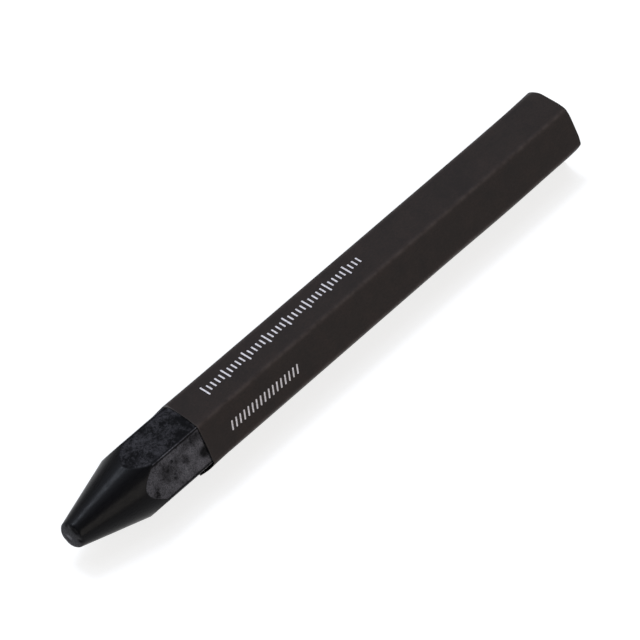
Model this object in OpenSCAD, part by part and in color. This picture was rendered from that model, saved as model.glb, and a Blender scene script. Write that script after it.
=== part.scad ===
// Hexagonal wax marking crayon in a lapped paper sleeve, lying on one flat of the sleeve.
// X runs along the stick from the marking tip to the back end, Z is up and the floor is Z = 0.

/* [Wax stick] */
// Length of the stick from the tip to its trimmed back end
stick_l = 119.5; // [100:0.5:140]
// Width of the stick across its flats
stick_af = 11.5; // [9.8:0.1:13]
// Radius of the six softened edges
stick_edge_r = 0.3; // [0.2:0.1:1.2]

/* [Marking tip] */
// Angle between the cone's side and the stick's axis
cone_angle = 15; // [13:0.5:22]
// Diameter at which the cone's side would meet the flat of the tip
tip_d = 4.5; // [3.5:0.1:6]
// Radius of the worn rim round the flat of the tip
tip_rim_r = 0.4; // [0.2:0.1:0.8]
// How far the cone's axis lies off the stick's, towards the upper edge at the front
tip_off = 0.25; // [0:0.05:0.5]

/* [Paper sleeve] */
// Length of bare wax in front of the sleeve
bare_l = 26.2; // [22:0.1:40]
// How far the sleeve stands past the back end of the stick
back_lip = 0.5; // [0.2:0.1:2]
// Thickness of the paper
paper_t = 0.1; // [0.06:0.01:0.2]
// Clearance all round between the stick and the paper
slip_clearance = 0.15; // [0.1:0.01:0.3]
// How much rounder the paper folds than it would if it followed the stick's edges
fold_ease = 0.25; // [0:0.05:0.5]

/* [Lapped seam] */
// Width of paper that lies double at the seam
lap_w = 4; // [2:0.1:4.4]
// Width of the bend that lifts the outer layer over the inner edge
bend_w = 0.4; // [0.2:0.1:0.6]
// Thickness of the glue film under the lap
glue_t = 0.05; // [0.03:0.01:0.1]
// Distance from the free edge of the lap to the glue
glue_inset = 0.4; // [0.2:0.1:1]

/* [Hidden] */
$fn = 64;
CORNERS = 6;
corner_step = 360 / CORNERS;
half_step = corner_step / 2;
// Angle at which a corner's arc runs into the flats beside it
corner_meet = 10;
// Edge of the stick towards which the cone lies, counted as an angle from the back
tip_off_edge = 2 * corner_step;

// The bore and the outside of the sleeve are the stick's own outline, grown by the clearance and the paper
bore_af = stick_af + 2 * slip_clearance;
bore_edge_r = stick_edge_r + slip_clearance + fold_ease;
sleeve_af = bore_af + 2 * paper_t;
sleeve_edge_r = bore_edge_r + paper_t;
sleeve_l = stick_l + back_lip - bare_l;
overall_l = stick_l + back_lip;

// The lap lies on the lower face at the back, with its free edge upwards
seam_normal = 330;
lap_free_edge = -(lap_w + bend_w) / 2;
inner_edge = lap_free_edge + lap_w;
lap_under = glue_t;
lap_over = glue_t + paper_t;

// Hexagon with one flat down, each corner cut back to an arc
module soft_hexagon(af, r) {
    arc_centre = (af / 2 - r * cos(corner_meet)) / cos(half_step);
    difference() {
        intersection_for (i = [1 : CORNERS / 2]) rotate(i * corner_step) square([2 * af, af], center = true);
        for (i = [0 : CORNERS - 1]) rotate(i * corner_step) difference() {
            translate([arc_centre + r * cos(half_step), -r]) square(2 * r);
            translate([arc_centre, 0]) circle(r);
        }
    }
}

// Lays an upright piece along X: its section's x and y become Y and Z
module lie_from_tip(start = 0) {
    translate([start - overall_l / 2, 0, sleeve_af / 2]) rotate([90, 0, 90]) children();
}

// Puts a section on the seam face: y = 0 is the outside of the inner layer and y points outwards
module on_seam_face() {
    rotate(seam_normal - 90) translate([0, sleeve_af / 2]) children();
}

// Half section of the turned tip: flat end, worn rim and cone, wide enough at the back to clear the corners
module tip_profile() {
    rim_centre_r = tip_d / 2 + tip_rim_r * tan(cone_angle) - tip_rim_r / cos(cone_angle);
    rim_end = [rim_centre_r + tip_rim_r * cos(cone_angle), tip_rim_r * (1 - sin(cone_angle))];
    clear_r = stick_af;
    clear_z = (clear_r - tip_d / 2) / tan(cone_angle);
    polygon([
        [0, 0],
        [rim_centre_r, 0],
        rim_end,
        [clear_r, clear_z],
        [clear_r, stick_l + clear_r],
        [0, stick_l + clear_r]
    ]);
    translate([rim_centre_r, tip_rim_r]) circle(tip_rim_r);
}

// Distance along the seam face of a point on the bend, at a depth below the top of the bend
function bend_x(depth) = inner_edge + bend_w * depth / lap_over;

// Lap and bend as one block, standing on the inner layer
module lap_block() {
    polygon([
        [lap_free_edge, -paper_t / 2],
        [bend_x(lap_over + paper_t / 2), -paper_t / 2],
        [inner_edge, lap_over],
        [lap_free_edge, lap_over]
    ]);
}

// Gap between the two layers: flat under the lap for the glue, then down beside the inner edge into the bore
module lap_gap() {
    polygon([
        [lap_free_edge - paper_t, 0],
        [inner_edge, 0],
        [inner_edge, -2 * paper_t],
        [bend_x(lap_under + 2 * paper_t), -2 * paper_t],
        [inner_edge, lap_under],
        [lap_free_edge - paper_t, lap_under]
    ]);
}

// One sheet wrapped once round, with its outer edge lapped over its inner edge
module sleeve_section() {
    difference() {
        union() {
            soft_hexagon(sleeve_af, sleeve_edge_r);
            on_seam_face() lap_block();
        }
        soft_hexagon(bore_af, bore_edge_r);
        on_seam_face() lap_gap();
    }
}

// Moulded wax: a hexagonal stick with a coned tip, a little off the middle, which runs out into the flats in scallops
module wax_stick() {
    color("#26272a") lie_from_tip() intersection() {
        linear_extrude(stick_l) soft_hexagon(stick_af, stick_edge_r);
        rotate(tip_off_edge) translate([tip_off, 0]) rotate_extrude() tip_profile();
    }
}

// Dark printed paper, lapped and glued into a tube that slips over the stick
module paper_sleeve() {
    color("#2f2d2c") lie_from_tip(bare_l) linear_extrude(sleeve_l) sleeve_section();
}

// Film of glue between the inner layer and the lap
module seam_glue() {
    color("#b9ad93") lie_from_tip(bare_l) linear_extrude(sleeve_l) on_seam_face()
        translate([lap_free_edge + glue_inset, 0]) square([lap_w - glue_inset, glue_t]);
}

wax_stick();
paper_sleeve();
seam_glue();
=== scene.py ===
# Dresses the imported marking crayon: a hexagonal stick of black wax in a lapped sleeve of dark paper.
import math
import random

import bpy
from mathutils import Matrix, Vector, noise


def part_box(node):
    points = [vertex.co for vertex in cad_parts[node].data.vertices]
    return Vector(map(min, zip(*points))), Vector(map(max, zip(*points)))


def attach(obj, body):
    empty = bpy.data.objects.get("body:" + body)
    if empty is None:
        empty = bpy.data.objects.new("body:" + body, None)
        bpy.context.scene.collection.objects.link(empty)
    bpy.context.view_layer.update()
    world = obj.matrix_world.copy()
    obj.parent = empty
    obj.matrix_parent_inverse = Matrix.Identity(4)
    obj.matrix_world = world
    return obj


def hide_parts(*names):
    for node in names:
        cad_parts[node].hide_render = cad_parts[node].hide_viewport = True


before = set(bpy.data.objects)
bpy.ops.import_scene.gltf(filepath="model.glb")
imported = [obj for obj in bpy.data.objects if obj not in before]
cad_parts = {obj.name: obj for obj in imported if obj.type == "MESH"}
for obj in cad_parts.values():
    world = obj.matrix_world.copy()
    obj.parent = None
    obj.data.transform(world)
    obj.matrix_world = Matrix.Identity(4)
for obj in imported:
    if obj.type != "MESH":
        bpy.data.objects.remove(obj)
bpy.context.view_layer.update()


# Wax stick: black marking wax poured hot into a hexagonal mould, with a coned tip that stands a little off
# the middle and runs out into the flats in scallops. The flats keep a grey bloom, small pits and rubbed
# patches, and the cone is clean. It lies loose in its sleeve, a little turned, against the upper back face.
MM = 0.001
SIXTH_TURN = math.radians(60)
HALF_SIXTH = SIXTH_TURN / 2


def across_at(angle, length=1.0):
    """A vector across the crayon, as (Y, Z), at an angle that counts from the back up over the top."""
    return Vector((math.cos(angle), math.sin(angle))) * length


stick_low, stick_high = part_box("wax_stick")
sleeve_low, sleeve_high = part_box("paper_sleeve")
tip_x = stick_low.x - 0.25 * MM
stick_back_x = stick_high.x
axis_z = (sleeve_low.z + sleeve_high.z) / 2
stick_across = 11.66 * MM
stick_edge_r = 0.3 * MM
stick_turn = math.radians(0.9)
stick_middle = across_at(math.radians(32), 0.15 * MM)
cone_angle = math.radians(15)
cone_middle = across_at(math.radians(120), 0.25 * MM)
tip_middle = cone_middle + stick_middle
tip_r = 2.25 * MM
tip_rim_r = 0.55 * MM
tip_dome = 0.08 * MM
shoulder_x = tip_x + 19 * MM
fine_end_x = sleeve_low.x + 1.5 * MM
# Edges that turn by more than this stay sharp.
crease_angle = math.radians(50)


def soft_hexagon(across, edge_r, turn, flat_steps, edge_steps):
    """Points round a hexagon with rounded edges: (place, flat, place along it, way from an edge's crest)."""
    half_flat = (across / 2 - edge_r) * math.tan(HALF_SIXTH)
    corner_r = (across / 2 - edge_r) / math.cos(HALF_SIXTH)
    half_arc = edge_r * HALF_SIXTH
    points = []
    for flat in range(6):
        facing = HALF_SIXTH + SIXTH_TURN * flat + turn
        out = across_at(facing)
        along = Vector((-out.y, out.x))
        for step in range(flat_steps + 1):
            # Steps close up towards the edges, where the bloom ends.
            u = half_flat * math.sin(math.pi / 2 * (2 * step / flat_steps - 1))
            points.append((out * across / 2 + along * u, flat, u, half_flat - abs(u) + half_arc))
        corner = facing + HALF_SIXTH
        for step in range(1, edge_steps):
            turned = facing + SIXTH_TURN * step / edge_steps
            place = across_at(corner, corner_r) + across_at(turned, edge_r)
            points.append((place, flat, half_flat, edge_r * abs(turned - corner)))
    return points


def stick_point(stretch, t, full_r):
    """A point t of the way along a stretch of the stick's profile: (x, radius, how far it faces the tip)."""
    rim_middle_r = tip_r + tip_rim_r * (math.tan(cone_angle) - 1 / math.cos(cone_angle))
    run_out_x = tip_x + (full_r - tip_r) / math.tan(cone_angle)
    if stretch == "tip face":
        return tip_x - tip_dome * (1 - t * t), rim_middle_r * t, math.pi / 2
    if stretch == "rim":
        swing = (math.pi / 2 - cone_angle) * t
        x = tip_x + tip_rim_r * (1 - math.cos(swing))
        return x, rim_middle_r + tip_rim_r * math.sin(swing), math.pi / 2 - swing
    if stretch == "cone":
        rim_end_x = tip_x + tip_rim_r * (1 - math.sin(cone_angle))
        x = rim_end_x + (run_out_x - rim_end_x) * t
        return x, tip_r + (x - tip_x) * math.tan(cone_angle), cone_angle
    if stretch == "scallop":
        return run_out_x + (shoulder_x - run_out_x) * t, full_r, 0.0
    if stretch == "bare":
        return shoulder_x + (fine_end_x - shoulder_x) * t, full_r, 0.0
    if stretch == "held":
        return fine_end_x + (stick_back_x - fine_end_x) * t, full_r, 0.0
    return stick_back_x, full_r * (1 - t), -math.pi / 2


def ease(value, width):
    """Rises smoothly from 0 to 1 over a width."""
    t = min(max(value / width, 0.0), 1.0)
    return t * t * (3 - 2 * t)


# Pits left by air in the mould, as (flat, distance from the tip, place along the flat, radius), lengths in
# millimetres: those in view on the bare flats, then scattered ones on the part that the sleeve holds.
pits = [(2, 14.2, 1.2, 0.5), (2, 19.3, -1.6, 0.25), (1, 14.6, -0.3, 0.32), (1, 17.9, -1.2, 0.28)]
held_pits = 60
pit_chance = random.Random(7)
for _ in range(held_pits):
    pit_place = (pit_chance.randrange(6), pit_chance.uniform(26, 118), pit_chance.uniform(-2.6, 2.6))
    pits.append((*pit_place, pit_chance.uniform(0.12, 0.28)))
# Shape of a pit, with lengths in its radii: the hollow, its lip, and the ring where bloom is rubbed off.
pit_depth = 0.3
pit_sharpness = 3
pit_lip_h = 0.1
pit_lip_at = 1.05
pit_lip_sharpness = 6
pit_reach = 2
pit_rub = 0.7
pit_rub_at = 0.8
pit_rub_w = 0.3

# Dents round the tip's rim, one below each long edge and one more, as (angle, radius, depth) in degrees and
# millimetres, and a ridge across the tip's face, with a shallower groove a few half widths below it.
tip_dents = [
    (2, 0.45, 0.04),
    (66, 0.36, 0.11),
    (108, 0.4, 0.2),
    (127, 0.36, 0.2),
    (171, 0.4, 0.21),
    (240, 0.5, 0.05),
    (301, 0.4, 0.04),
]
tip_dent_r = 1.98 * MM
tip_dent_x = 0.1 * MM
tip_marks_end = 3 * MM
ridge_turn = math.radians(17)
ridge_h = 0.1 * MM
ridge_middle = Vector((0.21, -0.27)) * MM
ridge_half_l = 0.4 * MM
ridge_half_w = 0.28 * MM
ridge_fade = 0.3 * MM
groove_share = 0.5
groove_off = 2.2

# The tip is scuffed pale to a level, and paler towards its lower back. Part of that level stands in for a
# painted reflection of the white floor. The paler ridge is a painted glint, and the dents and the groove
# below the ridge are kept dark as painted shade.
scuff_and_painted_reflection_level = 0.36
pale_lean = Vector((0.2, -0.4)) / (3.2 * MM)
painted_ridge_glint_and_groove_shade = 2.0
least_ridge = -0.12
scuff_facing = math.radians(80)
painted_dent_shade_depth = 0.12 * MM
painted_dent_shade_fade = 0.1 * MM

# Patches where the bloom is rubbed thin, as (flat, distance from the tip, place along the flat, length,
# width, how far), lengths in millimetres, and patches where it has flaked off in grains. Their outlines
# wander, on each flat in another way.
rubbed = [
    (2, 17.3, -0.7, 1.9, 1.6, 0.48),
    (2, 18.6, 1.2, 0.7, 0.5, 0.4),
    (2, 21.9, -0.3, 0.8, 0.9, 0.6),
    (2, 25.6, 0.8, 1.0, 1.0, 0.95),
    (2, 24.6, -2.1, 2.2, 0.9, 0.5),
    (1, 26.0, 1.2, 0.6, 1.6, 0.5),
]
flaked = [
    (1, 15.2, -0.5, 1.6, 0.35, 1.0),
    (1, 16.9, 0.0, 1.1, 0.35, 1.0),
    (1, 22.3, 2.5, 3.2, 0.6, 1.0),
    (1, 23.6, -1.4, 1.2, 0.5, 0.9),
    (1, 25.7, 0.6, 1.0, 1.2, 0.9),
    (2, 14.4, -0.8, 0.4, 0.7, 0.8),
    (0, 20.0, 0.5, 2.5, 0.8, 0.8),
    (3, 17.5, -0.4, 2.2, 0.7, 0.8),
    (4, 22.0, 0.8, 2.0, 1.2, 0.8),
    (5, 18.8, -0.9, 2.4, 0.7, 0.8),
]
patch_wander = 0.5
wander_length = 0.9 * MM
flat_apart = 10 * MM

# How much bloom each flat has kept, from the upper back one round over the top, and the back face. Bloom
# starts a little way in from a flat's edges and from the cone. A thin pale line on each crest, drawn as
# bloom, is a painted highlight.
flat_bloom = (0.7, 0.35, 0.98, 0.75, 0.6, 0.8)
back_bloom = 0.6
bloom_start = 0.18 * MM
bloom_fade = 0.32 * MM
cone_fade = 0.25 * MM
painted_crest_highlight = 0.9
painted_crest_highlight_half_w = 0.05 * MM
painted_crest_highlight_fade = 0.1 * MM

# Slow unevenness of the poured wax and the fine skin of the mould, as heights and lengths.
slow_h = 0.012 * MM
slow_length = 3.1 * MM
skin_h = 0.004 * MM
skin_length = 0.5 * MM


def patch_at(patches, from_tip, flat, u):
    """How far a place on a flat is inside a list of patches."""
    inside = 0.0
    wander = patch_wander * noise.noise(Vector((from_tip, u, flat * flat_apart)) / wander_length)
    for patch_flat, patch_x, patch_u, patch_length, patch_width, patch_share in patches:
        if patch_flat == flat:
            reach_x = (from_tip - patch_x * MM) / (patch_length * MM)
            reach_u = (u - patch_u * MM) / (patch_width * MM)
            reach = max(0.0, reach_x * reach_x + reach_u * reach_u + wander)
            inside = max(inside, patch_share * math.exp(-reach * reach))
    return inside


def pits_on(flat, from_tip, u):
    """The pits on a flat, each as (its radius, how many radii a place is from its middle)."""
    for pit_flat, pit_x, pit_u, pit_r in pits:
        if pit_flat == flat:
            yield pit_r * MM, math.hypot(from_tip - pit_x * MM, u - pit_u * MM) / (pit_r * MM)


def bloom_and_crest_highlight_at(x, past_cone, flat, u, from_edge):
    """Grey bloom and painted crest highlight: none on the cone, little in rubbed patches and round pits."""
    from_tip = x - tip_x
    crest = painted_crest_highlight * (1 - ease(from_edge - painted_crest_highlight_half_w, painted_crest_highlight_fade))
    strength = max(flat_bloom[flat] * ease(from_edge - bloom_start, bloom_fade), crest)
    strength *= ease(past_cone, cone_fade) * (1 - patch_at(rubbed, from_tip, flat, u))
    for pit_r, away in pits_on(flat, from_tip, u):
        strength *= 1 - pit_rub * math.exp(-((away - pit_rub_at) / pit_rub_w) ** 2)
    return strength


def ridge_at(off_middle):
    """Height of the ridge at a place on the tip's face: 1 on its crest, and under 0 in its groove."""
    away = off_middle - ridge_middle
    along = (away.x * math.cos(ridge_turn) + away.y * math.sin(ridge_turn)) / ridge_half_l
    across = (away.y * math.cos(ridge_turn) - away.x * math.sin(ridge_turn)) / ridge_half_w
    groove = groove_share * math.exp(-((across + groove_off) ** 2))
    return math.exp(-along * along) * (math.exp(-across * across) - groove)


def scuff_and_painted_light_at(off_middle, facing_tip, rise):
    """How pale the tip is at a place given from its middle: scuff, painted reflection, glint and shade."""
    strength = scuff_and_painted_reflection_level + pale_lean.dot(off_middle)
    # The ridge adds a painted glint, and the groove below it painted shade.
    strength += painted_ridge_glint_and_groove_shade * max(ridge_at(off_middle), least_ridge)
    # Deep dents lose the paleness: painted shade.
    return max(0.0, strength) * ease(facing_tip, scuff_facing) * ease(rise + painted_dent_shade_depth, painted_dent_shade_fade)


def relief_at(place, past_cone, flat, u):
    """How far the surface stands off the plain stick: unevenness, skin, the tip's marks and the pits."""
    rise = slow_h * (noise.noise(place / slow_length) - 1) + skin_h * noise.noise(place / skin_length)
    from_tip = place.x - tip_x
    if from_tip < tip_marks_end:
        off_middle = Vector((place.y, place.z - axis_z)) - tip_middle
        for dent_angle, dent_r, dent_depth in tip_dents:
            dent = across_at(math.radians(dent_angle), tip_dent_r)
            away = math.hypot(from_tip - tip_dent_x, *(off_middle - dent)) / (dent_r * MM)
            rise -= dent_depth * MM * math.exp(-away * away)
        rise += ridge_h * ridge_at(off_middle) * ease(ridge_fade - from_tip, ridge_fade)
    if past_cone > 0:
        for pit_r, away in pits_on(flat, from_tip, u):
            if away < pit_reach:
                lip = pit_lip_h * math.exp(-pit_lip_sharpness * (away - pit_lip_at) ** 2)
                rise += pit_r * (lip - pit_depth * math.exp(-pit_sharpness * away * away))
    return rise


# Rings of points from the tip to the back face, with what the wax looks like at each point.
stretches = {"tip face": 16, "rim": 8, "cone": 66, "scallop": 40, "bare": 60, "held": 170, "back face": 6}
stick_section = soft_hexagon(stick_across, stick_edge_r, stick_turn, flat_steps=32, edge_steps=6)
stick_verts = [(tip_x - tip_dome, tip_middle.x, tip_middle.y + axis_z)]
stick_marks = {"bloom": [0.0], "scuff_and_painted_light": [0.5], "flaked": [0.0]}
for stretch, steps in stretches.items():
    on_back = stretch == "back face"
    for step in range(1, steps if on_back else steps + 1):
        for section, flat, u, from_edge in stick_section:
            ring = section - cone_middle
            full_r = ring.length
            ring.normalize()
            x, r, facing_tip = stick_point(stretch, step / steps, full_r)
            past_cone = x - stick_point("scallop", 0, full_r)[0]
            spot = tip_middle + ring * r
            place = Vector((x, spot.x, spot.y + axis_z))
            sideways = ring * math.cos(facing_tip)
            rise = relief_at(place, past_cone, flat, u)
            stick_verts.append(place + Vector((-math.sin(facing_tip), *sideways)) * rise)
            # The bloom mark also carries the painted highlight on each crest.
            bloom = back_bloom if on_back else bloom_and_crest_highlight_at(x, past_cone, flat, u, from_edge)
            stick_marks["bloom"].append(bloom)
            stick_marks["scuff_and_painted_light"].append(scuff_and_painted_light_at(ring * r, facing_tip, rise))
            stick_marks["flaked"].append(patch_at(flaked, x - tip_x, flat, u))
around = len(stick_section)
stick_rows = (len(stick_verts) - 1) // around
back_middle = len(stick_verts)
stick_verts.append((stick_back_x, tip_middle.x, tip_middle.y + axis_z))
stick_marks["bloom"].append(back_bloom)
stick_marks["scuff_and_painted_light"].append(0.0)
stick_marks["flaked"].append(0.0)
stick_faces = []
last_row = 1 + (stick_rows - 1) * around
for j in range(around):
    k = (j + 1) % around
    stick_faces.append((0, 1 + k, 1 + j))
    for row in range(1, last_row, around):
        stick_faces.append((row + j, row + k, row + around + k, row + around + j))
    stick_faces.append((back_middle, last_row + j, last_row + k))


def keep_on_points(mesh, marks):
    """Keeps lists of numbers, or of vectors run together, on a mesh's points, for nodes to read by name."""
    for name, values in marks.items():
        kind, field = ("FLOAT", "value") if len(values) == len(mesh.vertices) else ("FLOAT_VECTOR", "vector")
        mesh.attributes.new(name, kind, "POINT").data.foreach_set(field, values)


def placed(name, data):
    """A new object in the scene, at the origin."""
    made = bpy.data.objects.new(name, data)
    bpy.context.scene.collection.objects.link(made)
    return made


def linear(hex_colour):
    """Turns an sRGB hex colour to the linear colour that a shader takes."""
    channels = []
    for start in (1, 3, 5):
        value = int(hex_colour[start:start + 2], 16) / 255
        channels.append(value / 12.92 if value <= 0.04045 else ((value + 0.055) / 1.055) ** 2.4)
    return (*channels, 1.0)


def add(tree, kind, inputs, **settings):
    """Adds a node with its settings, and fills its inputs with values or with links from other nodes.

    Inputs go by name or by place. Map Range takes a value, the range it comes from and the one it goes to.
    Mix takes a share, then two numbers at 2 and 3 or two colours at 6 and 7.
    """
    node = tree.nodes.new(kind)
    for name, value in settings.items():
        setattr(node, name, value)
    for name, value in inputs.items():
        if isinstance(value, bpy.types.NodeSocket):
            tree.links.new(value, node.inputs[name])
        else:
            node.inputs[name].default_value = value
    return node


def empty_material(name):
    """A new material with no nodes in it, and its node tree."""
    material = bpy.data.materials.new(name)
    material.use_nodes = True
    material.node_tree.nodes.clear()
    return material, material.node_tree


def poured_black_wax():
    """Carbon-black wax: semi-gloss and nearly black where clean, clouded grey where the mould left bloom."""
    material, tree = empty_material("poured_black_wax")
    place = add(tree, "ShaderNodeTexCoord", {}).outputs["Object"]
    bloom, scuff_and_painted_light, flakes = (
        add(tree, "ShaderNodeAttribute", {}, attribute_name=name).outputs["Fac"] for name in stick_marks
    )
    # Clouds of bloom about 2.2 mm across, over a speckle of about 0.2 mm.
    clouds = add(
        tree,
        "ShaderNodeTexNoise",
        {"Vector": place, "Scale": 1 / (2.2 * MM), "Detail": 4.0, "Roughness": 0.6},
    )
    cloudy = add(tree, "ShaderNodeMapRange", {0: clouds.outputs["Fac"], 1: 0.3, 2: 0.7, 3: 0.5, 4: 1.45})
    speckle = add(tree, "ShaderNodeTexNoise", {"Vector": place, "Scale": 1 / (0.2 * MM), "Detail": 2.0})
    speckled = add(tree, "ShaderNodeMapRange", {0: speckle.outputs["Fac"], 1: 0.3, 2: 0.7, 3: 0.5, 4: 1.5})
    # Ragged bare grains about 0.45 mm across, gathered in the thin clouds, in the flaked patches and on the
    # flats with less bloom.
    ragged = add(
        tree,
        "ShaderNodeTexNoise",
        {"Vector": place, "Scale": 1 / (0.45 * MM), "Detail": 5.0, "Roughness": 0.7, "Distortion": 0.5},
    )
    patchy = add(tree, "ShaderNodeMix", {0: 0.35, 2: ragged.outputs["Fac"], 3: clouds.outputs["Fac"]})
    patchy = add(
        tree, "ShaderNodeMath", {0: flakes, 1: -0.075, 2: patchy.outputs[0]}, operation="MULTIPLY_ADD"
    )
    covered = add(
        tree, "ShaderNodeMath", {0: bloom, 1: 0.18, 2: patchy.outputs[0]}, operation="MULTIPLY_ADD"
    )
    covered = add(tree, "ShaderNodeMapRange", {0: covered.outputs[0], 1: 0.495, 2: 0.62, 3: 0.02, 4: 0.5})
    # Bloom, with its painted crest highlight, veils the wax grey.
    veil = add(tree, "ShaderNodeMath", {0: bloom, 1: cloudy.outputs[0]}, operation="MULTIPLY")
    veil = add(tree, "ShaderNodeMath", {0: veil.outputs[0], 1: speckled.outputs[0]}, operation="MULTIPLY")
    veil = add(
        tree,
        "ShaderNodeMath",
        {0: veil.outputs[0], 1: covered.outputs[0]},
        operation="MULTIPLY",
        use_clamp=True,
    )
    # Clean wax is polished on the cone, and duller where it shows through on the flats. Its black is a
    # little
    # lighter on the cone than on the flats: painted light between the cone's highlights.
    moulded = add(tree, "ShaderNodeMapRange", {0: bloom, 1: 0.0, 2: 0.2}).outputs[0]
    clean = add(
        tree, "ShaderNodeMix", {0: moulded, 6: linear("#101012"), 7: linear("#070709")}, data_type="RGBA"
    )
    wax = add(
        tree,
        "ShaderNodeMix",
        {0: veil.outputs[0], 6: clean.outputs[2], 7: linear("#6d6c72")},
        data_type="RGBA",
    )
    # The tip is scuffed grey by use. The same grey carries a painted reflection on the tip's face, a painted
    # glint where it stands out on the ridge, and painted shade in the dents and the groove.
    worn = add(
        tree, "ShaderNodeMath", {0: scuff_and_painted_light, 1: speckled.outputs[0]}, operation="MULTIPLY", use_clamp=True
    )
    colour = add(
        tree,
        "ShaderNodeMix",
        {0: worn.outputs[0], 6: wax.outputs[2], 7: linear("#8a8a8e")},
        data_type="RGBA",
    )
    dull = add(tree, "ShaderNodeMath", {0: veil.outputs[0], 1: worn.outputs[0]}, operation="MAXIMUM")
    # Marks of drawing the stick out of its mould run along it, about 0.35 mm apart.
    drawn = add(tree, "ShaderNodeMapping", {"Vector": place, "Scale": (0.12, 1.0, 1.0)})
    marks = add(
        tree, "ShaderNodeTexNoise", {"Vector": drawn.outputs[0], "Scale": 1 / (0.35 * MM), "Detail": 3.0}
    )
    gloss = add(tree, "ShaderNodeMapRange", {0: marks.outputs["Fac"], 1: 0.3, 2: 0.7, 3: 0.22, 4: 0.36})
    gloss = add(tree, "ShaderNodeMix", {0: moulded, 2: gloss.outputs[0], 3: 0.6})
    dullness = add(
        tree, "ShaderNodeMapRange", {0: dull.outputs[0], 1: 0.0, 2: 0.4, 3: gloss.outputs[0], 4: 0.7}
    )
    skin = add(tree, "ShaderNodeMath", {0: speckle.outputs["Fac"], 1: bloom}, operation="MULTIPLY")
    bump = add(tree, "ShaderNodeBump", {"Strength": 0.5, "Distance": 0.04 * MM, "Height": skin.outputs[0]})
    shader = add(
        tree,
        "ShaderNodeBsdfPrincipled",
        {
            "Base Color": colour.outputs[2],
            "Roughness": dullness.outputs[0],
            "Normal": bump.outputs[0],
            "IOR": 1.44,
            "Specular IOR Level": 0.075,
        },
    )
    add(tree, "ShaderNodeOutputMaterial", {"Surface": shader.outputs[0]})
    return material


stick_mesh = bpy.data.meshes.new("wax_stick_skin")
stick_mesh.from_pydata(stick_verts, [], stick_faces)
keep_on_points(stick_mesh, stick_marks)
stick_mesh.shade_smooth()
stick_mesh.set_sharp_from_angle(angle=crease_angle)
stick_mesh.materials.append(poured_black_wax())
stick = placed("wax_stick_skin", stick_mesh)
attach(stick, "stick")
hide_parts("wax_stick")


# Paper sleeve: one sheet of dark dyed paper folded round the stick on its six edges and lapped on one flat.
# Both ends are cut square after rolling. Handling has pushed the mouth up and back with the stick, opened
# the back end, knocked its corners and rubbed the folds pale.
sleeve_across = sleeve_high.z - sleeve_low.z + 0.08 * MM
sleeve_z = sleeve_across / 2
sleeve_edge_r = 0.8 * MM
sleeve_half_flat = (sleeve_across / 2 - sleeve_edge_r) * math.tan(HALF_SIXTH)
paper_t = 0.1 * MM
glue_t = 0.05 * MM
lap_half = 2.2 * MM
lap_steps = 6
bend_w = 0.4 * MM
seam_flat = 5
seam_out = across_at(HALF_SIXTH + SIXTH_TURN * seam_flat)
seam_along = Vector((-seam_out.y, seam_out.x))
# A way from the folds at which a point counts as out on a flat.
off_folds = 1.2 * MM

# Values for each flat go from the upper back one round over the top, those for each fold from the back one.
# At the mouth: how far each flat bows out, how far its cut is hollowed, how far each fold is worn back and
# how far it is pressed out. The top flat lies on the wax, and the fold at the upper back still stands out.
mouth_bow = (0.0, -0.06 * MM, 0.19 * MM, 0.2 * MM, 0.0, 0.0)
mouth_hollow = (0.0, 0.22 * MM, 0.0, 0.7 * MM, 0.2 * MM, 0.0)
mouth_wear = (0.2 * MM, -0.45 * MM, 0.05 * MM, 0.15 * MM, 0.7 * MM, 0.2 * MM)
mouth_press = (0.0, 0.0, 0.0, 0.12 * MM, -0.2 * MM, 0.0)
mouth_corner = 0.5 * MM
mouth_push = across_at(math.radians(32), 0.08 * MM)
mouth_skew = 0.04
# The mouth is rubbed pale most at the fold that stands out.
mouth_rub_towards = across_at(SIXTH_TURN)
mouth_rub_least = 0.1
# At the back end: how far each fold is knocked in, how far the cut of each flat is worn, how far the folds
# are eased, and how much the end opens.
back_knock = (0.0, 0.3 * MM, 0.08 * MM, 0.08 * MM, 0.0, 0.0)
back_hollow = (0.0, 0.0, 0.0, 0.5 * MM, 0.0, 0.0)
back_corner = 1.0 * MM
back_ease = 0.12 * MM
back_flare = 0.021
knock_wear = 0.6
# Angle and length of two sideways moves: the upper back opens at the end, and a belly stands out before it.
back_aside = (math.radians(45), 0.17 * MM)
belly_aside = (math.radians(205), -0.22 * MM)
fold_rub_w = 0.36 * MM
# What the sleeve's Geometry Nodes take, in metres apart from the ripple: a share of the height above the
# floor, and a scale.
rolling_lengths = {
    "Front": sleeve_low.x,
    "Back": sleeve_high.x,
    "Front reach": 4 * MM,
    "Back reach": 7 * MM,
    "Knock reach": 1.2 * MM,
    "Belly place": tip_x + 104.5 * MM,
    "Belly reach": 11 * MM,
    "Lap lift": 0.06 * MM,
    "Ripple": 0.003,
    "Ripple scale": 1 / (11 * MM),
}
rolling_rows = 200


def from_folds(u):
    """How far a place along a flat is from the folds beside it: 0 at a fold and 1 in the middle."""
    return 1 - (u / sleeve_half_flat) ** 2


def nearest_fold(place):
    """Number of the fold that a point of the sheet is nearest to."""
    return round(math.atan2(place.y, place.x) / SIXTH_TURN) % 6


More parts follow.
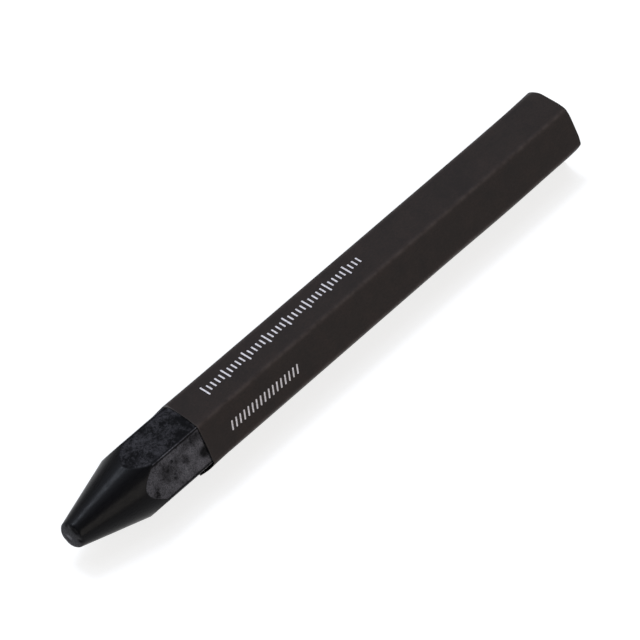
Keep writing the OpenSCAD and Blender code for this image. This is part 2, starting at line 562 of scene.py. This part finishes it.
def mouth_give(place, flat, u, from_edge):
    """How far a point of the sheet has moved at the mouth: cut askew, worn at folds, pushed and bowed."""
    pushed = max(0.0, place.normalized().dot(mouth_push.normalized()))
    aside = mouth_push * pushed * pushed
    aside += across_at(HALF_SIXTH + SIXTH_TURN * flat, mouth_bow[flat] * from_folds(u))
    share = (u / sleeve_half_flat + 1) / 2
    for fold, part in ((flat, 1 - share), (flat + 1, share)):
        aside += across_at(SIXTH_TURN * fold, mouth_press[fold % 6] * part)
    wear = mouth_wear[nearest_fold(place)] * math.exp(-((from_edge / mouth_corner) ** 2))
    return Vector((place.x * mouth_skew + mouth_hollow[flat] * from_folds(u) + wear, *aside))


def sideways_give(place, towards, reach):
    """A sideways move that is greatest at an angle round the sheet and dies away a quarter turn from it."""
    share = max(0.0, place.normalized().dot(across_at(towards)))
    return Vector((0.0, reach * share * share, 0.0))


def back_give(place, from_edge):
    """How far a point has moved near the back end: opened about the line on the floor, its folds eased."""
    corner = math.exp(-((from_edge / back_corner) ** 2))
    aside = (place + Vector((0.0, sleeve_z))) * back_flare - place.normalized() * corner * back_ease
    return Vector((0.0, *aside)) + sideways_give(place, *back_aside)


def knock_give(place, flat, u, from_edge):
    """How far a point has moved at the very end: its corners knocked in and its cut worn short."""
    knock = back_knock[nearest_fold(place)] * math.exp(-((from_edge / back_corner) ** 2))
    worn = knock_wear * knock + back_hollow[flat] * from_folds(u)
    return Vector((-worn, *(place.normalized() * -knock)))


def sheet_path():
    """The sheet's outer face seen from its end: (place, flat, place along it, way from a fold, lap)."""
    flat_out = seam_out * sleeve_across / 2
    tucked_u = bend_w - lap_half
    clear = 0.1 * MM
    path = [(flat_out + seam_along * tucked_u, seam_flat, tucked_u, off_folds, 0.0)]
    ring = soft_hexagon(sleeve_across, sleeve_edge_r, 0.0, flat_steps=14, edge_steps=8)
    inner_end = tucked_u + clear
    start = next(i for i, point in enumerate(ring) if point[1] == seam_flat and point[2] > inner_end)
    for point in ring[start:] + ring[:start]:
        if point[1] != seam_flat or not -lap_half - clear < point[2] < inner_end:
            path.append((*point, 0.0))
    path.append((flat_out - seam_along * lap_half, seam_flat, -lap_half, off_folds, 0.0))
    lap_out = seam_out * (sleeve_across / 2 + glue_t + paper_t)
    for step in range(lap_steps + 1):
        share = step / lap_steps
        u = tucked_u + (lap_half - tucked_u) * share
        path.append((lap_out + seam_along * u, seam_flat, u, off_folds, share))
    return path


def node_group(name, kinds):
    """A new Geometry Nodes group that takes inputs, listed by kind, and gives out one geometry."""
    tree = bpy.data.node_groups.new(name, "GeometryNodeTree")
    for kind, input_names in kinds.items():
        for input_name in input_names:
            tree.interface.new_socket(input_name, in_out="INPUT", socket_type="NodeSocket" + kind)
    tree.interface.new_socket("Geometry", in_out="OUTPUT", socket_type="NodeSocketGeometry")
    return tree


def sleeve_tree():
    """Geometry Nodes that draw the sheet's outline out into the sleeve, shape its ends and lift its lap."""
    kinds = {"Geometry": ["Outline"], "Float": rolling_lengths, "Int": ["Rows"], "Material": ["Paper"]}
    tree = node_group("rolled_paper_sleeve", kinds)
    given = add(tree, "NodeGroupInput", {}).outputs
    outline = add(tree, "GeometryNodeMeshToCurve", {"Mesh": given["Outline"]})
    start = add(tree, "ShaderNodeCombineXYZ", {"X": given["Front"]})
    end = add(tree, "ShaderNodeCombineXYZ", {"X": given["Back"]})
    line = add(tree, "GeometryNodeCurvePrimitiveLine", {"Start": start.outputs[0], "End": end.outputs[0]})
    rows = add(tree, "GeometryNodeResampleCurve", {"Curve": line.outputs[0], "Count": given["Rows"]})
    drawn = add(
        tree, "GeometryNodeCurveToMesh", {"Curve": rows.outputs[0], "Profile Curve": outline.outputs[0]}
    )
    place = add(tree, "GeometryNodeInputPosition", {}).outputs[0]
    axes = add(tree, "ShaderNodeSeparateXYZ", {0: place}).outputs
    # How near a point is to each end, falling away from 1 over that end's reach.
    ahead = add(tree, "ShaderNodeMath", {0: given["Front"], 1: axes["X"]}, operation="SUBTRACT")
    behind = add(tree, "ShaderNodeMath", {0: axes["X"], 1: given["Back"]}, operation="SUBTRACT")
    near = []
    for gap, reach in ((ahead, "Front reach"), (behind, "Back reach"), (behind, "Knock reach")):
        lengths = add(tree, "ShaderNodeMath", {0: gap.outputs[0], 1: given[reach]}, operation="DIVIDE")
        near.append(add(tree, "ShaderNodeMath", {0: lengths.outputs[0]}, operation="EXPONENT").outputs[0])
    # The belly swells and dies away on both sides of its place.
    past = add(tree, "ShaderNodeMath", {0: axes["X"], 1: given["Belly place"]}, operation="SUBTRACT")
    past = add(tree, "ShaderNodeMath", {0: past.outputs[0], 1: given["Belly reach"]}, operation="DIVIDE")
    away = add(tree, "ShaderNodeMath", {0: past.outputs[0], 1: past.outputs[0]}, operation="MULTIPLY")
    away = add(tree, "ShaderNodeMath", {0: away.outputs[0], 1: -1.0}, operation="MULTIPLY")
    near.append(add(tree, "ShaderNodeMath", {0: away.outputs[0]}, operation="EXPONENT").outputs[0])
    # Soft waves along the sheet, square to the line on which the sleeve lies.
    waves = add(
        tree, "ShaderNodeTexNoise", {"Vector": place, "Scale": given["Ripple scale"], "Detail": 1.0}
    )
    wave = add(tree, "ShaderNodeMath", {0: waves.outputs["Fac"], 1: 0.5}, operation="SUBTRACT")
    wave = add(tree, "ShaderNodeMath", {0: wave.outputs[0], 1: given["Ripple"]}, operation="MULTIPLY")
    from_floor = add(tree, "ShaderNodeCombineXYZ", {"Y": axes["Y"], "Z": axes["Z"]})
    moved = add(
        tree, "ShaderNodeVectorMath", {0: from_floor.outputs[0], "Scale": wave.outputs[0]}, operation="SCALE"
    )
    # What each point of the outline gives at the mouth, near the back end, at its very end and in the belly.
    for attribute, nearness in zip(("mouth", "back", "knock", "belly"), near):
        give = add(tree, "GeometryNodeInputNamedAttribute", {"Name": attribute}, data_type="FLOAT_VECTOR")
        give = add(tree, "ShaderNodeVectorMath", {0: give.outputs[0], "Scale": nearness}, operation="SCALE")
        moved = add(tree, "ShaderNodeVectorMath", {0: moved.outputs[0], 1: give.outputs[0]}, operation="ADD")
    # The free edge of the lap stands up a little at both ends.
    lap = add(tree, "GeometryNodeInputNamedAttribute", {"Name": "lap"}, data_type="FLOAT").outputs[0]
    lift = add(tree, "ShaderNodeMath", {0: near[0], 1: near[1]}, operation="ADD")
    lift = add(tree, "ShaderNodeMath", {0: lift.outputs[0], 1: given["Lap lift"]}, operation="MULTIPLY")
    lift = add(tree, "ShaderNodeMath", {0: lift.outputs[0], 1: lap}, operation="MULTIPLY")
    lap_out = (0.0, *seam_out)
    lifted = add(tree, "ShaderNodeVectorMath", {0: lap_out, "Scale": lift.outputs[0]}, operation="SCALE")
    moved = add(tree, "ShaderNodeVectorMath", {0: moved.outputs[0], 1: lifted.outputs[0]}, operation="ADD")
    formed = add(tree, "GeometryNodeSetPosition", {0: drawn.outputs[0], "Offset": moved.outputs[0]})
    smooth = add(tree, "GeometryNodeSetShadeSmooth", {0: formed.outputs[0]})
    whole = add(tree, "GeometryNodeRealizeInstances", {0: smooth.outputs[0]})
    papered = add(tree, "GeometryNodeSetMaterial", {0: whole.outputs[0], "Material": given["Paper"]})
    add(tree, "NodeGroupOutput", {0: papered.outputs[0]})
    return tree


def set_inputs(modifier, values):
    """Sets a Geometry Nodes modifier's inputs, found by their names."""
    for item in modifier.node_group.interface.items_tree:
        if item.in_out == "INPUT" and item.name in values:
            modifier[item.identifier] = values[item.name]


def plain_mesh(made, name):
    """Turns an object with modifiers into a plain mesh of that shape, and drops the modifiers."""
    bpy.context.view_layer.update()
    shape = bpy.data.meshes.new_from_object(made.evaluated_get(bpy.context.evaluated_depsgraph_get()))
    made.modifiers.clear()
    made.data = shape
    shape.name = name


def dyed_kraft_paper():
    """Brown-black dyed kraft paper: matt, with a faint fibre grain, rubbed pale along folds and cuts."""
    material, tree = empty_material("dyed_kraft_paper")
    place = add(tree, "ShaderNodeTexCoord", {}).outputs["Object"]
    fold = add(tree, "ShaderNodeAttribute", {}, attribute_name="fold").outputs["Fac"]
    # Fibres lie along the sleeve. At 0.12 mm they would be lost in the render, so they are drawn 0.25 mm.
    laid = add(tree, "ShaderNodeMapping", {"Vector": place, "Scale": (0.6, 1.0, 1.0)})
    fibre = add(
        tree, "ShaderNodeTexNoise", {"Vector": laid.outputs[0], "Scale": 1 / (0.25 * MM), "Detail": 3.0}
    )
    mottle = add(tree, "ShaderNodeTexNoise", {"Vector": place, "Scale": 1 / (3.5 * MM), "Detail": 3.0})
    tone = add(
        tree, "ShaderNodeMath", {0: fibre.outputs["Fac"], 1: mottle.outputs["Fac"]}, operation="MULTIPLY"
    )
    tone = add(tree, "ShaderNodeMapRange", {0: tone.outputs[0], 1: 0.12, 2: 0.4})
    paper = add(
        tree,
        "ShaderNodeMix",
        {0: tone.outputs[0], 6: linear("#1f1917"), 7: linear("#2d2522")},
        data_type="RGBA",
    )
    # The folds are rubbed in patches about 1.4 mm long.
    rub = add(tree, "ShaderNodeTexNoise", {"Vector": place, "Scale": 1 / (1.4 * MM), "Detail": 4.0})
    rub = add(tree, "ShaderNodeMapRange", {0: rub.outputs["Fac"], 1: 0.35, 2: 0.65, 3: 0.25, 4: 0.85})
    creased = add(tree, "ShaderNodeMath", {0: rub.outputs[0], 1: fold}, operation="MULTIPLY")
    folded = add(
        tree,
        "ShaderNodeMix",
        {0: creased.outputs[0], 6: paper.outputs[2], 7: linear("#453d3a")},
        data_type="RGBA",
    )
    # The lip is a pale line 0.35 mm wide along the cut of the mouth.
    rubbed_mouth = add(tree, "ShaderNodeAttribute", {}, attribute_name="rubbed_mouth").outputs["Fac"]
    along_cut = (1.0, -mouth_skew, 0.0)
    squared = add(tree, "ShaderNodeVectorMath", {0: place, 1: along_cut}, operation="DOT_PRODUCT")
    lip = add(
        tree,
        "ShaderNodeMapRange",
        {0: squared.outputs["Value"], 1: sleeve_low.x, 2: sleeve_low.x + 0.35 * MM, 3: 0.9, 4: 0.0},
    )
    lip = add(tree, "ShaderNodeMath", {0: lip.outputs[0], 1: rubbed_mouth}, operation="MULTIPLY")
    colour = add(
        tree,
        "ShaderNodeMix",
        {0: lip.outputs[0], 6: folded.outputs[2], 7: linear("#5c5957")},
        data_type="RGBA",
    )
    bump = add(
        tree, "ShaderNodeBump", {"Strength": 0.25, "Distance": 0.02 * MM, "Height": fibre.outputs["Fac"]}
    )
    dullness = add(tree, "ShaderNodeMapRange", {0: tone.outputs[0], 3: 0.68, 4: 0.78})
    shader = add(
        tree,
        "ShaderNodeBsdfPrincipled",
        {
            "Base Color": colour.outputs[2],
            "Roughness": dullness.outputs[0],
            "Normal": bump.outputs[0],
            "IOR": 1.45,
            "Specular IOR Level": 0.2,
            "Sheen Weight": 0.12,
            "Sheen Roughness": 0.5,
        },
    )
    add(tree, "ShaderNodeOutputMaterial", {"Surface": shader.outputs[0]})
    return material


def cut_paper_edge():
    """The cut through the sheet: raw fibre about 0.6 mm long, paler than the dyed face and quite matt."""
    material, tree = empty_material("cut_paper_edge")
    place = add(tree, "ShaderNodeTexCoord", {}).outputs["Object"]
    fibre = add(tree, "ShaderNodeTexNoise", {"Vector": place, "Scale": 1 / (0.6 * MM), "Detail": 3.0})
    colour = add(
        tree,
        "ShaderNodeMix",
        {0: fibre.outputs["Fac"], 6: linear("#2a2523"), 7: linear("#4e4844")},
        data_type="RGBA",
    )
    shader = add(
        tree,
        "ShaderNodeBsdfPrincipled",
        {"Base Color": colour.outputs[2], "Roughness": 0.9, "Specular IOR Level": 0.2},
    )
    add(tree, "ShaderNodeOutputMaterial", {"Surface": shader.outputs[0]})
    return material


def end_outline(name, places):
    """A mesh line through places seen from the end, laid out as Curve to Mesh takes a profile along X."""
    mesh = bpy.data.meshes.new(name)
    points = [(-place.x, -(place.y + sleeve_z), 0.0) for place in places]
    mesh.from_pydata(points, [(i, i + 1) for i in range(len(points) - 1)], [])
    return mesh


sheet_points = sheet_path()
outline_mesh = end_outline("sheet_outline", [point[0] for point in sheet_points])
sheet_marks = {"fold": [], "lap": [], "rubbed_mouth": [], "mouth": [], "back": [], "knock": [], "belly": []}
for place, flat, u, from_edge, lap_share in sheet_points:
    rub = max(0.0, place.normalized().dot(mouth_rub_towards)) ** 3
    sheet_marks["fold"].append(math.exp(-((from_edge / fold_rub_w) ** 2)))
    sheet_marks["lap"].append(lap_share)
    sheet_marks["rubbed_mouth"].append(mouth_rub_least + (1 - mouth_rub_least) * rub)
    sheet_marks["mouth"].extend(mouth_give(place, flat, u, from_edge))
    sheet_marks["back"].extend(back_give(place, from_edge))
    sheet_marks["knock"].extend(knock_give(place, flat, u, from_edge))
    sheet_marks["belly"].extend(sideways_give(place, *belly_aside))
keep_on_points(outline_mesh, sheet_marks)
paper = dyed_kraft_paper()
sleeve = placed("rolled_sleeve", outline_mesh)
rolling_tree = sleeve_tree()
rolling = sleeve.modifiers.new("rolling", "NODES")
rolling.node_group = rolling_tree
set_inputs(rolling, {**rolling_lengths, "Rows": rolling_rows, "Paper": paper})
wall = sleeve.modifiers.new("wall", "SOLIDIFY")
wall.thickness = paper_t
wall.offset = -1
wall.use_even_offset = True
wall.material_offset_rim = 1
plain_mesh(sleeve, "rolled_sleeve")
sleeve.data.materials.clear()
sleeve.data.materials.append(paper)
sleeve.data.materials.append(cut_paper_edge())
sleeve.data.set_sharp_from_angle(angle=crease_angle)
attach(sleeve, "sleeve")
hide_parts("paper_sleeve")


# Seam glue: a thin film of dried paper glue under the lap, brushed on before the sheet is closed. Only its
# ends show, as a pale line between the two layers of paper. It bends with the paper at both ends.
def dried_paper_glue():
    """Dried vegetable glue: yellowish, a little glossy, and uneven from brush marks about 0.5 mm apart."""
    material, tree = empty_material("dried_paper_glue")
    place = add(tree, "ShaderNodeTexCoord", {}).outputs["Object"]
    strokes = add(tree, "ShaderNodeMapping", {"Vector": place, "Scale": (0.2, 1.0, 1.0)})
    brushed = add(
        tree, "ShaderNodeTexNoise", {"Vector": strokes.outputs[0], "Scale": 1 / (0.5 * MM), "Detail": 3.0}
    )
    colour = add(
        tree,
        "ShaderNodeMix",
        {0: brushed.outputs["Fac"], 6: linear("#8f8268"), 7: linear("#c4b899")},
        data_type="RGBA",
    )
    bump = add(
        tree, "ShaderNodeBump", {"Strength": 0.2, "Distance": 0.01 * MM, "Height": brushed.outputs["Fac"]}
    )
    shader = add(
        tree,
        "ShaderNodeBsdfPrincipled",
        {"Base Color": colour.outputs[2], "Roughness": 0.4, "Normal": bump.outputs[0], "IOR": 1.5},
    )
    add(tree, "ShaderNodeOutputMaterial", {"Surface": shader.outputs[0]})
    return material


glue_half = lap_half - bend_w
glue_steps = 8
glue_places = []
glue_marks = {"mouth": [], "back": []}
for step in range(glue_steps + 1):
    u = glue_half * (2 * step / glue_steps - 1)
    place = seam_out * (sleeve_across / 2 + glue_t) + seam_along * u
    glue_places.append(place)
    glue_marks["mouth"].extend(mouth_give(place, seam_flat, u, off_folds))
    glue_marks["back"].extend(back_give(place, off_folds))
glue_mesh = end_outline("glue_outline", glue_places)
keep_on_points(glue_mesh, glue_marks)
glue = placed("glue_film", glue_mesh)
brushing = glue.modifiers.new("brushing", "NODES")
brushing.node_group = rolling_tree
set_inputs(brushing, {**rolling_lengths, "Rows": rolling_rows, "Paper": dried_paper_glue()})
film = glue.modifiers.new("film", "SOLIDIFY")
film.thickness = glue_t
film.offset = -1
plain_mesh(glue, "glue_film")
glue.data.set_sharp_from_angle(angle=crease_angle)
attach(glue, "sleeve")
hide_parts("seam_glue")


# Printed marks: two plain rows of strokes in white ink on the two flats that face the reader, a measuring
# row of ticks and a shorter row of slanted hatching. The film of ink lies on the paper and moves with it.
stroke_sizes = {
    "Stroke": 0.32 * MM,
    "Film": 0.012 * MM,
    "Half across": sleeve_across / 2,
    "Axis height": sleeve_z,
}
ink_rows = {
    "ink_ticks": {
        "First": tip_x + 33 * MM,
        "Across": 0.6 * MM,
        "Pitch": 1 * MM,
        "Short": 1.3 * MM,
        "Long": 2.2 * MM,
        "Slant": 0.0,
        "Turn": 0.0,
        "Count": 39,
    },
    "ink_hatching": {
        "First": tip_x + 32.5 * MM,
        "Across": -0.4 * MM,
        "Pitch": 1 * MM,
        "Short": 1.6 * MM,
        "Long": 1.6 * MM,
        "Slant": math.radians(-20),
        "Turn": SIXTH_TURN,
        "Count": 17,
    },
}
# Every fifth stroke is long. Corners are rounded by a share of the stroke, and the film is welded shut.
long_every = 5
corner_share = 0.3
weld_gap = 0.001 * MM
# How far above its flat a stroke is dropped from, and how far down it looks for the paper.
drop_from = 1 * MM
drop_reach = 3 * MM


def stroke_row_tree():
    """Geometry Nodes that repeat one ink stroke along a flat of the sleeve, some of them long."""
    sizes = (*stroke_sizes, "First", "Across", "Pitch", "Short", "Long", "Slant", "Turn")
    kinds = {"Float": sizes, "Object": ["Sleeve"], "Int": ["Count"], "Material": ["Ink"]}
    tree = node_group("row_of_ink_strokes", kinds)
    given = add(tree, "NodeGroupInput", {}).outputs
    # One stroke: a rectangle with round corners, filled, raised by the ink's thickness and closed below.
    edge = add(
        tree,
        "GeometryNodeCurvePrimitiveQuadrilateral",
        {"Width": given["Stroke"], "Height": given["Short"]},
    )
    soft_r = add(tree, "ShaderNodeMath", {0: given["Stroke"], 1: corner_share}, operation="MULTIPLY")
    soft = add(
        tree,
        "GeometryNodeFilletCurve",
        {"Curve": edge.outputs[0], "Count": 3, "Radius": soft_r.outputs[0], "Limit Radius": True},
        mode="POLY",
    )
    filled = add(tree, "GeometryNodeFillCurve", {"Curve": soft.outputs[0]}, mode="NGONS")
    film = add(
        tree,
        "GeometryNodeExtrudeMesh",
        {"Mesh": filled.outputs[0], "Offset Scale": given["Film"], "Individual": False},
    )
    underside = add(tree, "GeometryNodeFlipFaces", {"Mesh": filled.outputs[0]})
    stroke = add(tree, "GeometryNodeJoinGeometry", {0: film.outputs["Mesh"]})
    tree.links.new(underside.outputs[0], stroke.inputs[0])
    stroke = add(tree, "GeometryNodeMergeByDistance", {0: stroke.outputs[0], "Distance": weld_gap})
    # The row: strokes along X on a level flat, turned about the sleeve's axis on to their own flat.
    first = add(
        tree, "ShaderNodeCombineXYZ", {"X": given["First"], "Y": given["Across"], "Z": given["Half across"]}
    )
    step = add(tree, "ShaderNodeCombineXYZ", {"X": given["Pitch"]})
    row = add(
        tree,
        "GeometryNodeMeshLine",
        {"Count": given["Count"], "Start Location": first.outputs[0], "Offset": step.outputs[0]},
    )
    index = add(tree, "GeometryNodeInputIndex", {})
    turn_of = add(tree, "ShaderNodeMath", {0: index.outputs[0], 1: long_every}, operation="MODULO")
    is_long = add(tree, "ShaderNodeMath", {0: turn_of.outputs[0], 1: 0.5}, operation="LESS_THAN")
    longer = add(tree, "ShaderNodeMath", {0: given["Long"], 1: given["Short"]}, operation="DIVIDE")
    stretch = add(tree, "ShaderNodeMix", {0: is_long.outputs[0], 2: 1.0, 3: longer.outputs[0]})
    size = add(tree, "ShaderNodeCombineXYZ", {"X": 1.0, "Y": stretch.outputs[0], "Z": 1.0})
    lean = add(tree, "ShaderNodeCombineXYZ", {"Z": given["Slant"]})
    strokes = add(
        tree,
        "GeometryNodeInstanceOnPoints",
        {
            "Points": row.outputs[0],
            "Instance": stroke.outputs[0],
            "Rotation": lean.outputs[0],
            "Scale": size.outputs[0],
        },
    )
    turn = add(tree, "ShaderNodeCombineXYZ", {"X": given["Turn"]})
    height = add(tree, "ShaderNodeCombineXYZ", {"Z": given["Axis height"]}).outputs[0]
    turned = add(
        tree,
        "GeometryNodeTransform",
        {"Geometry": strokes.outputs[0], "Translation": height, "Rotation": turn.outputs[0]},
    )
    whole = add(tree, "GeometryNodeRealizeInstances", {0: turned.outputs[0]})
    # Each point is dropped square on to the paper and keeps its own height above the flat.
    cosine = add(tree, "ShaderNodeMath", {0: given["Turn"]}, operation="COSINE")
    sine = add(tree, "ShaderNodeMath", {0: given["Turn"]}, operation="SINE")
    sine = add(tree, "ShaderNodeMath", {0: sine.outputs[0], 1: -1.0}, operation="MULTIPLY")
    outward = add(tree, "ShaderNodeCombineXYZ", {"Y": sine.outputs[0], "Z": cosine.outputs[0]}).outputs[0]
    inward = add(tree, "ShaderNodeVectorMath", {0: outward, "Scale": -1.0}, operation="SCALE")
    clear = add(tree, "ShaderNodeVectorMath", {0: outward, "Scale": drop_from}, operation="SCALE")
    place = add(tree, "GeometryNodeInputPosition", {})
    above = add(tree, "ShaderNodeVectorMath", {0: place.outputs[0], 1: clear.outputs[0]}, operation="ADD")
    paper_info = add(tree, "GeometryNodeObjectInfo", {"Object": given["Sleeve"]})
    found = add(
        tree,
        "GeometryNodeRaycast",
        {
            "Target Geometry": paper_info.outputs["Geometry"],
            "Source Position": above.outputs[0],
            "Ray Direction": inward.outputs[0],
            "Ray Length": drop_reach,
        },
    )
    from_axis = add(
        tree, "ShaderNodeVectorMath", {0: found.outputs["Hit Position"], 1: height}, operation="SUBTRACT"
    )
    rise = add(tree, "ShaderNodeVectorMath", {0: from_axis.outputs[0], 1: outward}, operation="DOT_PRODUCT")
    drop = add(
        tree, "ShaderNodeMath", {0: rise.outputs["Value"], 1: given["Half across"]}, operation="SUBTRACT"
    )
    drop = add(tree, "ShaderNodeVectorMath", {0: outward, "Scale": drop.outputs[0]}, operation="SCALE")
    laid = add(tree, "GeometryNodeSetPosition", {0: whole.outputs[0], "Offset": drop.outputs[0]})
    inked = add(tree, "GeometryNodeSetMaterial", {0: laid.outputs[0], "Material": given["Ink"]})
    add(tree, "NodeGroupOutput", {0: inked.outputs[0]})
    return tree


def white_printing_ink():
    """Opaque white printing ink: a thin matt film, a little broken by the paper's grain of about 0.25 mm."""
    material, tree = empty_material("white_printing_ink")
    place = add(tree, "ShaderNodeTexCoord", {}).outputs["Object"]
    grain = add(tree, "ShaderNodeTexNoise", {"Vector": place, "Scale": 1 / (0.25 * MM), "Detail": 3.0})
    broken = add(tree, "ShaderNodeMapRange", {0: grain.outputs["Fac"], 1: 0.25, 2: 0.6})
    colour = add(
        tree,
        "ShaderNodeMix",
        {0: broken.outputs[0], 6: linear("#b9b5b6"), 7: linear("#ece9ee")},
        data_type="RGBA",
    )
    shader = add(
        tree,
        "ShaderNodeBsdfPrincipled",
        {"Base Color": colour.outputs[2], "Roughness": 0.6, "Specular IOR Level": 0.3},
    )
    add(tree, "ShaderNodeOutputMaterial", {"Surface": shader.outputs[0]})
    return material


ink = white_printing_ink()
row_tree = stroke_row_tree()
for row_name, row_sizes in ink_rows.items():
    ink_row = placed(row_name, bpy.data.meshes.new(row_name))
    printing = ink_row.modifiers.new("printing", "NODES")
    printing.node_group = row_tree
    set_inputs(printing, {**stroke_sizes, **row_sizes, "Sleeve": sleeve, "Ink": ink})
    plain_mesh(ink_row, row_name)
    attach(ink_row, "sleeve")


# Studio: a white paper floor under a broad overhead light with a narrower core, a light from the reader's
# right and a weak one from behind, in an even grey surround. The camera stands where the photo was taken.
floor_r = 6.0
floor_z = -0.005 * MM
floor_sides = 96
floor_lift = 0.74


def white_paper_floor():
    """Smooth white paper: lifted to plain white for the eye and for reflections, and it keeps the shadow."""
    material, tree = empty_material("white_paper_floor")
    seen = add(tree, "ShaderNodeLightPath", {}).outputs
    direct = seen["Is Camera Ray"]
    for ray in ("Is Glossy Ray", "Is Transmission Ray"):
        direct = add(tree, "ShaderNodeMath", {0: direct, 1: seen[ray]}, operation="MAXIMUM").outputs[0]
    lift = add(tree, "ShaderNodeMath", {0: direct, 1: floor_lift}, operation="MULTIPLY")
    paper_white = add(tree, "ShaderNodeBsdfDiffuse", {"Color": linear("#b0b0b0")})
    glow = add(tree, "ShaderNodeEmission", {"Color": linear("#ffffff"), "Strength": lift.outputs[0]})
    both = add(tree, "ShaderNodeAddShader", {0: paper_white.outputs[0], 1: glow.outputs[0]})
    add(tree, "ShaderNodeOutputMaterial", {"Surface": both.outputs[0]})
    return material


floor_verts = []
for side in range(floor_sides):
    corner = across_at(2 * math.pi * side / floor_sides, floor_r)
    floor_verts.append((corner.x, corner.y, floor_z))
floor_mesh = bpy.data.meshes.new("floor")
floor_mesh.from_pydata(floor_verts, [], [tuple(range(floor_sides))])
floor_mesh.materials.append(white_paper_floor())
floor = placed("floor", floor_mesh)

# Soft lights, each as the direction it comes from, its strength, its width from the crayon and its tint.
from_overhead = Vector((0.07, 0.4, 0.914))
soft_lights = {
    "overhead_light": (from_overhead, 1.07, math.radians(62), linear("#e8f0ff")),
    "overhead_core": (from_overhead, 0.99, math.radians(17), linear("#e8f0ff")),
    "back_fill": (Vector((0.1, 0.97, 0.2)), 0.28, math.radians(60), linear("#ffffff")),
    "side_light": (Vector((0.03, -0.91, 0.42)), 1.07, math.radians(38), linear("#fff7ee")),
}
for light_name, (light_from, strength, width, tint) in soft_lights.items():
    lamp = bpy.data.lights.new(light_name, "SUN")
    lamp.energy = strength
    lamp.angle = width
    lamp.color = tint[:3]
    light = placed(light_name, lamp)
    light.rotation_euler = light_from.to_track_quat("Z", "Y").to_euler()

world = bpy.data.worlds.new("even_surround")
world.use_nodes = True
world.node_tree.nodes.clear()
surround = add(world.node_tree, "ShaderNodeBackground", {"Color": linear("#707070"), "Strength": 1.0})
add(world.node_tree, "ShaderNodeOutputWorld", {"Surface": surround.outputs[0]})
bpy.context.scene.world = world
bpy.context.scene.view_settings.view_transform = "Standard"

# Camera: its azimuth, elevation and distance from the crayon's middle, and how far the frame is off that.
camera_azimuth = math.radians(-50.216)
camera_elevation = math.radians(45.785)
camera_distance = 939 * MM
frame_off = Vector((0.257 * MM, 0.722 * MM, 0))
lens = bpy.data.cameras.new("camera")
lens.lens = 327.6
lens.sensor_width = 36
lens.clip_start = 0.05
lens.clip_end = 50
camera = placed("camera", lens)
camera_back = Vector((
    math.sin(camera_azimuth) * math.cos(camera_elevation),
    -math.cos(camera_azimuth) * math.cos(camera_elevation),
    math.sin(camera_elevation),
))
camera_turn = camera_back.to_track_quat("Z", "Y")
camera.location = Vector((0, 0, axis_z)) + camera_back * camera_distance + camera_turn @ frame_off
camera.rotation_euler = camera_turn.to_euler()
bpy.context.scene.camera = camera
